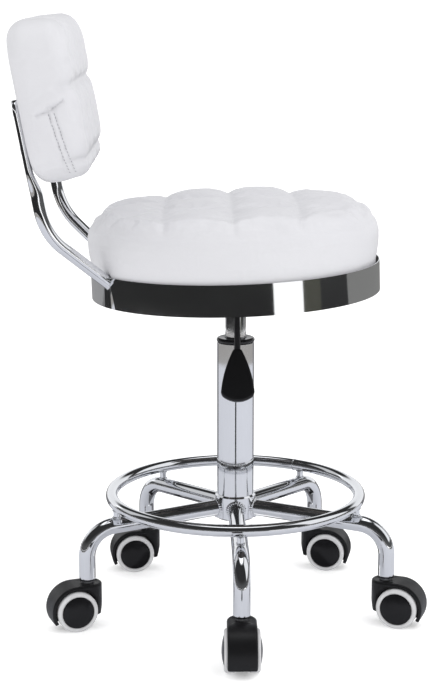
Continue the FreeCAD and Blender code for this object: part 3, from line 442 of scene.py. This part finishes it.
# Lever paddle: a flat moulded grip on the end of the rod, in satin black nylon.
moulding = Finish("black_satin_moulding", "black_moulding", Base_Color=(0.006, 0.006, 0.007, 1.0),
                  Specular_IOR_Level=0.3)
moulding.drive(Roughness=moulding.noise(90.0) * 0.15 + 0.32,
               Normal=moulding.bump(moulding.noise(2200.0, 2.0), 0.2, 0.0003))
moulding.dress("leg_sockets")
smooth_copy("lever_paddle", "lever_grip", moulding, "lever")


# Boards: birch plywood stained black, with the plies showing faintly as stripes on the cut edges.
birch = Finish("stained_plywood", "plywood")
plies = birch.node("TexWave", {"bands_direction": "Z"}, {"Vector": birch.place(), "Scale": 110.0,
                                                        "Distortion": 0.6, "Detail": 2.0}, 1)
grain = birch.noise(22.0, 6.0, 0.6, birch.stretched((1.0, 14.0, 14.0)))
birch.drive(Base_Color=birch.blend(plies * 0.5 + grain * 0.5, (0.018, 0.016, 0.015, 1.0),
                                   (0.060, 0.052, 0.046, 1.0)),
            Roughness=grain * 0.2 + 0.5, Normal=birch.bump(grain, 0.2, 0.0006))
birch.dress("seat_board", "backrest_board")


# Seat band: mirror-bright strip steel rolled round the foot of the cushion. It is thin, so the
# sheet waves a little and pulls the reflections about.
mirror = Finish("mirror_strip", "band_chrome", Metallic=1.0, Base_Color=(0.80, 0.81, 0.82, 1.0))
wave = mirror.noise(4.0, 2.0, 0.5, mirror.stretched((3.0, 3.0, 0.6)))
mirror.drive(Roughness=mirror.noise(40.0) * 0.05 + 0.04, Normal=mirror.bump(wave, 0.25, 0.004))
smooth_copy("seat_band", "rolled_band", mirror, "seat")


# Back tubes: chromed steel tube, flattened for the bolts under the board and again behind the
# backrest, where the flats lie against the padding. Each is one sweep of rings along its bends.
rake_pivot = Vector((0.0, 0.0, 0.452))
seat_rake = (Matrix.Translation(rake_pivot) @ Matrix.Rotation(math.radians(-1.9), 4, "Y")
             @ Matrix.Translation(-rake_pivot))
back_tube = 0.008
flat_width = 0.021
flat_thickness = 0.0088
flat_blend = 0.034
flat_inset = 0.0001
lower_flat = 0.048
upper_flat = 0.088
board_foot = 0.464
tube_start = 0.0755
lower_bend = 0.164
elbow_reach = 0.275
elbow_height = 0.548
bend_radii = (0.026, 0.078)
upright_length = 0.169
lean = math.radians(8.5)
upright = Vector((-math.sin(lean), 0.0, math.cos(lean)))
splay = math.radians(30.0)
ring_step = 0.004
ring_points = 36
arc_steps = 24


def rounded_path(corners, radii):
    """Evenly spaced stations along straight runs and the arcs at the inner corners."""
    line = [corners[0]]
    for before, corner, after, radius in zip(corners, corners[1:], corners[2:], radii):
        arrive = (before - corner).normalized()
        leave = (after - corner).normalized()
        half = (math.pi - arrive.angle(leave)) / 2.0
        centre = corner + (arrive + leave).normalized() * (radius / math.cos(half))
        first = corner + arrive * radius * math.tan(half) - centre
        last = corner + leave * radius * math.tan(half) - centre
        for n in range(arc_steps + 1):
            spoke = first.slerp(last, n / arc_steps)
            line.append(centre + spoke * radius / spoke.length)
    line.append(corners[-1])
    stations = []
    travelled = 0.0
    for start, end in zip(line, line[1:]):
        length = (end - start).length
        tangent = (end - start).normalized()
        count = max(int(length / ring_step), 1)
        for n in range(count):
            stations.append((start.lerp(end, n / count), tangent, travelled + length * n / count))
        travelled += length
    stations.append((line[-1], (line[-1] - line[-2]).normalized(), travelled))
    return stations


def flatness(along, start, end):
    """0 where the tube is round, 1 where it is flat."""
    part = min(max((along - start) / (end - start), 0.0), 1.0)
    return part * part * (3.0 - 2.0 * part)


def sweep(stations, across_start, across_end, inner_flat, outer_flat):
    """Rings along the stations, squashed before inner_flat and after outer_flat."""
    bpy.ops.object.select_all(action="DESELECT")
    bpy.ops.mesh.primitive_circle_add(vertices=ring_points, radius=1.0, fill_type="NGON")
    piece = bpy.context.object
    bpy.ops.object.mode_set(mode="EDIT")
    bpy.ops.mesh.select_all(action="SELECT")
    for _ in stations[1:]:
        bpy.ops.mesh.extrude_region_move(TRANSFORM_OT_translate={"value": (0.0, 0.0, 1.0)})
    bpy.ops.object.mode_set(mode="OBJECT")
    total = stations[-1][2]
    for point in piece.data.vertices:
        centre, tangent, along = stations[min(int(round(point.co.z)), len(stations) - 1)]
        inner = 1.0 - flatness(along, inner_flat, inner_flat + flat_blend)
        outer = flatness(along, outer_flat - flat_blend, outer_flat)
        squash = max(inner, outer)
        across = across_start.lerp(across_end, flatness(along, inner_flat, outer_flat - flat_blend))
        across = (across - tangent * across.dot(tangent)).normalized()
        through = tangent.cross(across)
        width = 2.0 * back_tube + (flat_width - 2.0 * back_tube) * squash
        thickness = 2.0 * back_tube + (flat_thickness - 2.0 * back_tube) * squash
        end = max(flat_width / 2.0 - min(along, total - along), 0.0) / (flat_width / 2.0)
        width = max(width * math.sqrt(max(1.0 - end * end, 0.0)), thickness * 0.5)
        spread = min(max(point.co.x * 2.2, -1.0), 1.0)
        side = point.co.x * thickness / 2.0 + spread * (width - thickness) / 2.0
        shift = (back_tube - flat_inset - thickness / 2.0) * (-through if outer > 0.0 else through)
        point.co = centre + across * side + through * (point.co.y * thickness / 2.0) + shift
    piece.data.transform(seat_rake)
    edit(piece)
    return close(piece)


for side, sign in (("left", -1.0), ("right", 1.0)):
    outward = Vector((-math.cos(splay), sign * math.sin(splay), 0.0))
    tangential = Vector((0.0, 0.0, 1.0)).cross(outward)
    level = Vector((0.0, 0.0, board_foot - back_tube))
    elbow = outward * elbow_reach + Vector((0.0, 0.0, elbow_height))
    top = elbow + upright * upright_length
    path = rounded_path([outward * tube_start + level, outward * lower_bend + level, elbow, top], bend_radii)
    bent = sweep(path, tangential, Vector((0.0, -1.0, 0.0)), lower_flat, path[-1][2] - upper_flat)
    fit(bent, "bent_back_tube_" + side, chrome, "seat", "back_tube_" + side)


# Seat cushion: foam under white vinyl. The top is quilted in squares, and a seam joins it to the
# plain side panel, which pulls in at the band.
vinyl = Finish("white_vinyl", "white_vinyl")
pebbles = vinyl.node("TexVoronoi", {"feature": "SMOOTH_F1"}, {"Vector": vinyl.place(), "Scale": 620.0})
tone = vinyl.noise(7.0, 4.0)
vinyl.drive(Base_Color=vinyl.blend(tone, (0.535, 0.532, 0.562, 1.0), (0.590, 0.592, 0.610, 1.0)),
            Roughness=vinyl.noise(30.0) * 0.16 + 0.36, Specular_IOR_Level=0.35,
            Normal=vinyl.bump(pebbles + vinyl.noise(160.0) * 0.5, 0.12, 0.0006))
cloth_steps = 20


def foam(node, name, levelled, grid, slack):
    """A packed cushion as an even skin of small faces, level and a little small."""
    piece = bpy.data.objects.new(name, frame["nodes"][node].data.copy())
    bpy.context.collection.objects.link(piece)
    edit(piece)
    close(piece)
    piece.data.transform(levelled)
    piece.data.remesh_voxel_size = grid
    bpy.ops.object.voxel_remesh()
    for point, normal in [(point, point.normal.copy()) for point in piece.data.vertices]:
        point.co -= normal * slack
    return piece


def sew(piece, depth, hold):
    """Sink each point by depth along its inward direction and hold it by its weight."""
    sewn = piece.vertex_groups.new(name="sewn")
    for point, normal in [(point, point.normal.copy()) for point in piece.data.vertices]:
        weight = hold(point.co, normal)
        if weight > 0.0:
            sewn.add([point.index], min(weight, 1.0), "REPLACE")
        point.co -= normal * depth(point.co, normal)


def inflate(piece, pressure, cap):
    """Let the foam push the vinyl out between the seams, with no point moving past the cap."""
    start = [point.co.copy() for point in piece.data.vertices]
    cloth = piece.modifiers.new("cloth", "CLOTH")
    skin = cloth.settings
    skin.quality = 6
    skin.mass = 0.3
    skin.tension_stiffness = 12.0
    skin.compression_stiffness = 8.0
    skin.shear_stiffness = 5.0
    skin.bending_stiffness = 0.6
    skin.tension_damping = 8.0
    skin.compression_damping = 8.0
    skin.shear_damping = 8.0
    skin.use_pressure = True
    skin.uniform_pressure_force = pressure
    skin.vertex_group_mass = "sewn"
    skin.shrink_min = -0.02
    skin.effector_weights.gravity = 0.0
    cloth.collision_settings.use_collision = False
    for step in range(1, cloth_steps + 1):
        bpy.context.scene.frame_set(step)
    select(piece)
    bpy.ops.object.modifier_apply(modifier=cloth.name)
    for point, place in zip(piece.data.vertices, start):
        move = point.co - place
        if move.length > cap:
            point.co = place + move * (cap / move.length)


def groove(distance, width):
    """1 in the middle of a seam, fading out to its sides."""
    return math.exp(-abs(distance) / width)


seat_skin = foam("seat_cushion", "seat_pad", seat_rake.inverted(), grid=0.0045, slack=0.0012)
seat_foot = min(point.co.z for point in seat_skin.data.vertices)
panel_height = 0.066
seat_border = seat_foot + panel_height
tuck_height = 0.014
seat_pitch = 0.0865
seat_first = -0.0030
seat_side = 0.150
seat_fullness = 0.0095
seat_shift = -0.0015
stitch_line = 0.0024
across_depth = 0.0060
along_depth = 0.0035
seam_width = 0.005
border_depth = 0.0016
border_width = 0.004
for point in seat_skin.data.vertices:
    inward = min(point.co.to_2d().length / seat_side, 1.08)
    point.co.z += seat_fullness * inward ** 2 * min(max((point.co.z - seat_border) / 0.012, 0.0), 1.0)


def seat_seam(place):
    """How far a point of the top is from the nearest seam of each direction."""
    across = (place.x - seat_first + seat_pitch / 2.0) % seat_pitch - seat_pitch / 2.0
    along = (place.y - seat_first + seat_pitch / 2.0) % seat_pitch - seat_pitch / 2.0
    return abs(across), abs(along)


def seat_depth(place, normal):
    """How deep the quilting seams and the border seam pull the vinyl in."""
    top = min(max((place.z - seat_border) / 0.010, 0.0), 1.0)
    at_side = place.to_2d().length > seat_side
    side = border_depth * groove(place.z - seat_border, border_width) if at_side else 0.0
    across, along = seat_seam(place)
    return top * max(across_depth * groove(across, seam_width),
                     along_depth * groove(along, seam_width)) + side


def seat_hold(place, normal):
    """How firmly the foot, the side panel, the border seam and the quilting are held."""
    if place.z < seat_foot + tuck_height:
        return 1.0
    if place.z < seat_border - 0.003:
        return 0.55
    if place.z < seat_border + 0.002:
        return 0.92
    return 1.0 if min(seat_seam(place)) < stitch_line else 0.0


sew(seat_skin, seat_depth, seat_hold)
inflate(seat_skin, pressure=4.6, cap=0.012)
modify(seat_skin, "SUBSURF", levels=1)
modify(seat_skin, "SMOOTH", iterations=2, factor=0.5)
seat_skin.data.transform(Matrix.Translation((seat_shift, 0.0, 0.0)))
seat_skin.data.transform(seat_rake)
fit(seat_skin, "seat_pad", vinyl, "seat", "seat_cushion")


# Backrest cushion: the same vinyl over foam, quilted in front, with a plain back. Each end panel
# is cut and closed again by a topstitched double seam, with a gathered crease above it.
rest_low, rest_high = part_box("backrest_cushion")
rest_centre = (rest_low + rest_high) / 2.0
rest_lean = (Matrix.Translation(rest_centre) @ Matrix.Rotation(math.radians(-10.4), 4, "Y")
             @ Matrix.Translation(-rest_centre))
rest_skin = foam("backrest_cushion", "back_pad", rest_lean.inverted(), grid=0.0036, slack=0.0004)
rest_points = [point.co for point in rest_skin.data.vertices]
rest_back = min(place.x for place in rest_points)
rest_front = max(place.x for place in rest_points)
rest_foot = min(place.z for place in rest_points)
rest_end = max(place.y for place in rest_points)
rest_rows = (0.022, 0.114)
rest_pitch = 0.087
end_seam_head = (0.040, 0.090)
end_seam_foot = (0.050, -0.004)
end_seam_half = 0.0035
rest_seam_depth = 0.0070
rest_seam_width = 0.006
back_panel = 0.010
end_seam_depth = 0.0026
end_seam_width = 0.0011
crease_depth = 0.0044
crease_width = 0.0018
end_crease = ((0.022, 0.086), (0.040, 0.089), (0.057, 0.098))


def rest_seam(place):
    """How far a point of the front is from the nearest quilting seam."""
    across = abs(place.y % rest_pitch - rest_pitch / 2.0)
    return min([across] + [abs(place.z - rest_foot - row) for row in rest_rows])


def line_distance(place, start, end):
    """How far a point of the end panel is from a line, both as (depth, height)."""
    point = Vector((place.x - rest_back, place.z - rest_foot))
    start = Vector(start)
    run = Vector(end) - start
    part = min(max((point - start).dot(run) / run.length_squared, 0.0), 1.0)
    return (point - start - run * part).length


def end_seam(place):
    """How far a point of the end panel is from the nearer row of its double seam."""
    return abs(line_distance(place, end_seam_head, end_seam_foot) - end_seam_half)


def crease(place):
    """How far a point of the end panel is from the crease."""
    return min(line_distance(place, *pair) for pair in zip(end_crease, end_crease[1:]))


def rest_depth(place, normal):
    """How deep the quilting seams pull the front in."""
    front = min(max((place.x - rest_front + 0.030) / 0.014, 0.0), 1.0)
    return front * rest_seam_depth * groove(rest_seam(place), rest_seam_width)


def rest_hold(place, normal):
    """How firmly the back, the quilting and the rest of the cover are held."""
    if place.x < rest_back + back_panel:
        return 1.0
    if normal.x > 0.3 and rest_seam(place) < stitch_line:
        return 1.0
    return 0.12


def end_cut(place, normal):
    """The fine grooves of an end panel."""
    end = min(max((abs(normal.y) - 0.5) / 0.3, 0.0), 1.0)
    return end * (end_seam_depth * groove(end_seam(place), end_seam_width)
                  + crease_depth * groove(crease(place), crease_width))


sew(rest_skin, rest_depth, rest_hold)
inflate(rest_skin, pressure=6.0, cap=0.011)
modify(rest_skin, "SUBSURF", levels=1)
modify(rest_skin, "SMOOTH", iterations=2, factor=0.5)
sew(rest_skin, end_cut, lambda place, normal: 0.0)
rest_skin.data.transform(rest_lean)
fit(rest_skin, "back_pad", vinyl, "seat", "backrest_cushion")


# Topstitching: grey thread in short stitches along both sides of each end seam, each stitch half sunk into
# the vinyl. The thread's colour also carries painted shade, darker in the low bands of its twist.
thread = Finish("grey_thread", "white_vinyl", Roughness=0.7)
twist_and_painted_shade = thread.node("TexWave", {"bands_direction": "DIAGONAL"},
                    {"Vector": thread.place(), "Scale": 900.0}, 1)
# Painted shade: the thread's colour follows its twist and is darkest where the bump is lowest, as if the
# grooves between the plies were in shade.
thread.drive(Base_Color=thread.blend(twist_and_painted_shade, (0.16, 0.16, 0.18, 1.0), (0.34, 0.34, 0.37, 1.0)),
             Normal=thread.bump(twist_and_painted_shade, 0.3, 0.0002))
stitch_step = 0.0042
stitch_size = (0.00045, 0.00045, 0.0017, 1.0)
head_margin = 0.004
foot_margin = 0.012
bpy.ops.object.select_all(action="DESELECT")
bpy.ops.mesh.primitive_uv_sphere_add(segments=6, ring_count=5, radius=1.0)
stitch_pattern = bpy.context.object
stitch_pattern.data.transform(Matrix.Diagonal(stitch_size))
stitches = []
for sign in (-1.0, 1.0):
    for offset in (-end_seam_half, end_seam_half):
        head = Vector((rest_back + end_seam_head[0] + offset, 0.0,
                       rest_foot + end_seam_head[1] - head_margin))
        foot = Vector((rest_back + end_seam_foot[0] + offset, 0.0,
                       rest_foot + end_seam_foot[1] + foot_margin))
        count = int((head - foot).length / stitch_step)
        for n in range(count):
            spot = head.lerp(foot, (n + 0.5) / count)
            spot.y = sign * (rest_end + 0.03)
            start = rest_lean @ spot
            found, place, normal, _ = rest_skin.ray_cast(start, Vector((0.0, -sign, 0.0)))
            if not found:
                continue
            along = (rest_lean.to_3x3() @ (foot - head)).normalized()
            along = (along - normal * along.dot(normal)).normalized()
            stitch = stitch_pattern.copy()
            stitch.data = stitch_pattern.data.copy()
            bpy.context.collection.objects.link(stitch)
            turn = along.to_track_quat("Z", "Y").to_matrix().to_4x4()
            stitch.data.transform(Matrix.Translation(place) @ turn)
            stitches.append(stitch)
bpy.data.objects.remove(stitch_pattern)
fit(join(*stitches), "end_stitching", thread, "seat")


# Casters: twin wheels under a moulded hood. The wheels are glossy black with light grey rubber
# tyres, and the hood is satin.
wheel_black = Finish("wheel_moulding", "black_wheel", Base_Color=(0.006, 0.006, 0.007, 1.0),
                     Specular_IOR_Level=0.3)
wheel_black.drive(Roughness=wheel_black.noise(80.0) * 0.15 + 0.16,
                  Normal=wheel_black.bump(wheel_black.noise(700.0), 0.1, 0.0004))
rubber = Finish("grey_rubber", "grey_tread")
dust = rubber.noise(45.0, 5.0)
rubber.drive(Base_Color=rubber.blend(dust, (0.44, 0.44, 0.45, 1.0), (0.60, 0.60, 0.61, 1.0)),
             Roughness=dust * 0.2 + 0.5, Normal=rubber.bump(rubber.noise(500.0), 0.2, 0.0004))
for n in range(1, 6):
    caster = "caster_%d" % n
    zinc.dress(caster + "_pins")
    smooth_copy(caster + "_hood", caster + "_cover", moulding, caster)
    for side in ("left", "right"):
        wheel = "%s_wheel_%s" % (caster, side)
        smooth_copy(wheel, wheel + "_core", wheel_black, wheel)
        smooth_copy("%s_tread_%s" % (caster, side), "%s_tyre_%s" % (caster, side), rubber, wheel)


# Studio: white paper that runs on past the view under an even white sky. Polished metal sees a
# darker room: a bright ceiling and back wall, a soft box at the right and another behind at the
# left.
bpy.ops.mesh.primitive_plane_add(size=60.0)
floor = bpy.context.object
floor.name = "studio_floor"
paper = Finish("white_paper", "white_vinyl", Roughness=0.9, Emission_Color=(1.0, 1.0, 1.0, 1.0),
               Emission_Strength=0.24)
paper.drive(Base_Color=paper.blend(paper.noise(3.0), (0.925, 0.925, 0.925, 1.0),
                                   (0.935, 0.935, 0.935, 1.0)),
            Normal=paper.bump(paper.noise(300.0), 0.02, 0.001))
floor.data.materials.append(paper.material)

world = bpy.data.worlds.new("studio")
bpy.context.scene.world = world
world.use_nodes = True
sky = Nodes(world.node_tree)
aim = sky.node("TexCoord", output=0)
parts = [sky.node("SeparateXYZ", {}, {"Vector": aim}, axis) for axis in range(3)]
azimuth = parts[1].calculate("ARCTAN2", parts[1], parts[0]) * (180.0 / math.pi)
height = parts[2].calculate("ARCSINE", parts[2]) * (180.0 / math.pi)


def soft_box(middle, half, low, high):
    """A lit rectangle of the room, in degrees."""
    turn = azimuth - middle
    away = turn.calculate("ABSOLUTE", turn)
    wide = 1.0 - away.between(half - 3.0, half + 3.0)
    return wide * height.between(low - 3.0, low + 3.0) * (1.0 - height.between(high - 4.0, high + 4.0))


ceiling = (height + parts[1] * 8.0).between(64.0, 76.0) * 1.6
room = ceiling + soft_box(0.0, 25.0, 12.0, 60.0) * 0.9 + soft_box(150.0, 15.0, 15.0, 50.0) * 0.6
backdrop = soft_box(90.0, 52.0, -8.0, 26.0) * 0.85
room = room + backdrop + (1.0 - height.between(0.0, 25.0)) * 0.07 + 0.03
dark_room = sky.node("Background", {}, {"Color": (0.97, 0.98, 1.0, 1.0), "Strength": room})
white_room = sky.node("Background", {}, {"Color": (1.0, 1.0, 1.0, 1.0), "Strength": 1.25})
polished = sky.node("LightPath", {}, {}, 3)
mixed = sky.node("MixShader", {}, {0: polished, 1: white_room, 2: dark_room})
world.node_tree.links.new(mixed.socket, world.node_tree.nodes["World Output"].inputs["Surface"])

# For the polished metal alone: grey paper on the near floor, cloths of several tones on the far
# floor, and a narrow dark strip in front. Each is a sector between two radii, from one azimuth to
# another, in degrees from straight in front round to the right.
near_foot = 0.03
near_end = 1.62
edge_end = 2.02
far_end = 8.0
cloths = (("near", (0.50, 0.51, 0.55), 0.002, near_foot, near_end, -133.0, 133.0),
          ("near_edge", (0.26, 0.25, 0.24), 0.002, near_end, edge_end, -133.0, 133.0),
          ("near_dark", (0.12, 0.12, 0.13), 0.002, near_foot, edge_end, 133.0, 165.0),
          ("near_back", (0.45, 0.46, 0.49), 0.002, near_foot, edge_end, 165.0, 195.0),
          ("near_dark_left", (0.12, 0.12, 0.13), 0.002, near_foot, edge_end, 195.0, 227.0),
          ("far_dark", (0.006, 0.006, 0.006), 0.005, edge_end, far_end, -127.0, 27.0),
          ("far_bright", (0.98, 0.98, 0.98), 0.005, edge_end, far_end, 27.0, 51.5),
          ("far_olive", (0.045, 0.045, 0.030), 0.005, edge_end, far_end, 51.5, 66.0),
          ("far_black", (0.010, 0.010, 0.010), 0.005, edge_end, far_end, 66.0, 94.0),
          ("far_middle", (0.16, 0.16, 0.155), 0.005, edge_end, far_end, 94.0, 180.0),
          ("far_light", (0.24, 0.24, 0.245), 0.005, edge_end, far_end, 180.0, 233.0),
          ("strip", (0.012, 0.012, 0.012), 0.008, 0.45, edge_end, -4.0, 4.0))
for name, tone, cloth_height, inner, outer, start, end in cloths:
    bpy.ops.object.select_all(action="DESELECT")
    bpy.ops.mesh.primitive_plane_add(size=0.01)
    card = bpy.context.object
    card.name = "floor_cloth_" + name
    bpy.ops.object.mode_set(mode="EDIT")
    bpy.ops.mesh.merge(type="CENTER")
    first = math.radians(start - 90.0)
    bpy.ops.transform.translate(value=(inner * math.cos(first), inner * math.sin(first), cloth_height))
    reach = outer - inner
    bpy.ops.mesh.extrude_vertices_move(TRANSFORM_OT_translate={
        "value": (reach * math.cos(first), reach * math.sin(first), 0.0)})
    bpy.ops.mesh.select_all(action="SELECT")
    bpy.ops.mesh.spin(steps=24, angle=math.radians(start - end), center=(0.0, 0.0, 0.0),
                      axis=(0.0, 0.0, 1.0))
    close(card)
    weave = Finish("cloth_" + name, "white_vinyl", Roughness=1.0)
    pale = tuple(part * 1.12 for part in tone)
    weave.drive(Base_Color=weave.blend(weave.noise(8.0), tone + (1.0,), pale + (1.0,)))
    card.data.materials.append(weave.material)
    for ray in ("visible_camera", "visible_diffuse", "visible_shadow", "visible_transmission"):
        setattr(card, ray, False)

# One soft lamp above the right front, and the camera level with the top of the backrest.
lamp_place = Vector((1.3, -0.8, 2.6))
lamp_target = Vector((0.0, 0.0, 0.5))
bpy.ops.object.light_add(type="AREA", location=lamp_place)
lamp = bpy.context.object
lamp.data.size = 1.4
lamp.data.energy = 14.0
lamp.visible_glossy = False
lamp.rotation_euler = (lamp_place - lamp_target).to_track_quat("Z", "Y").to_euler()

bpy.ops.object.camera_add(location=(-0.058, -2.220, 0.824),
                          rotation=(math.radians(90.0 - 11.45), 0.0, math.radians(-0.92)))
camera = bpy.context.object
camera.data.lens = 88.5
camera.data.sensor_width = 36.0
bpy.context.scene.camera = camera
bpy.context.scene.view_settings.view_transform = "Standard"
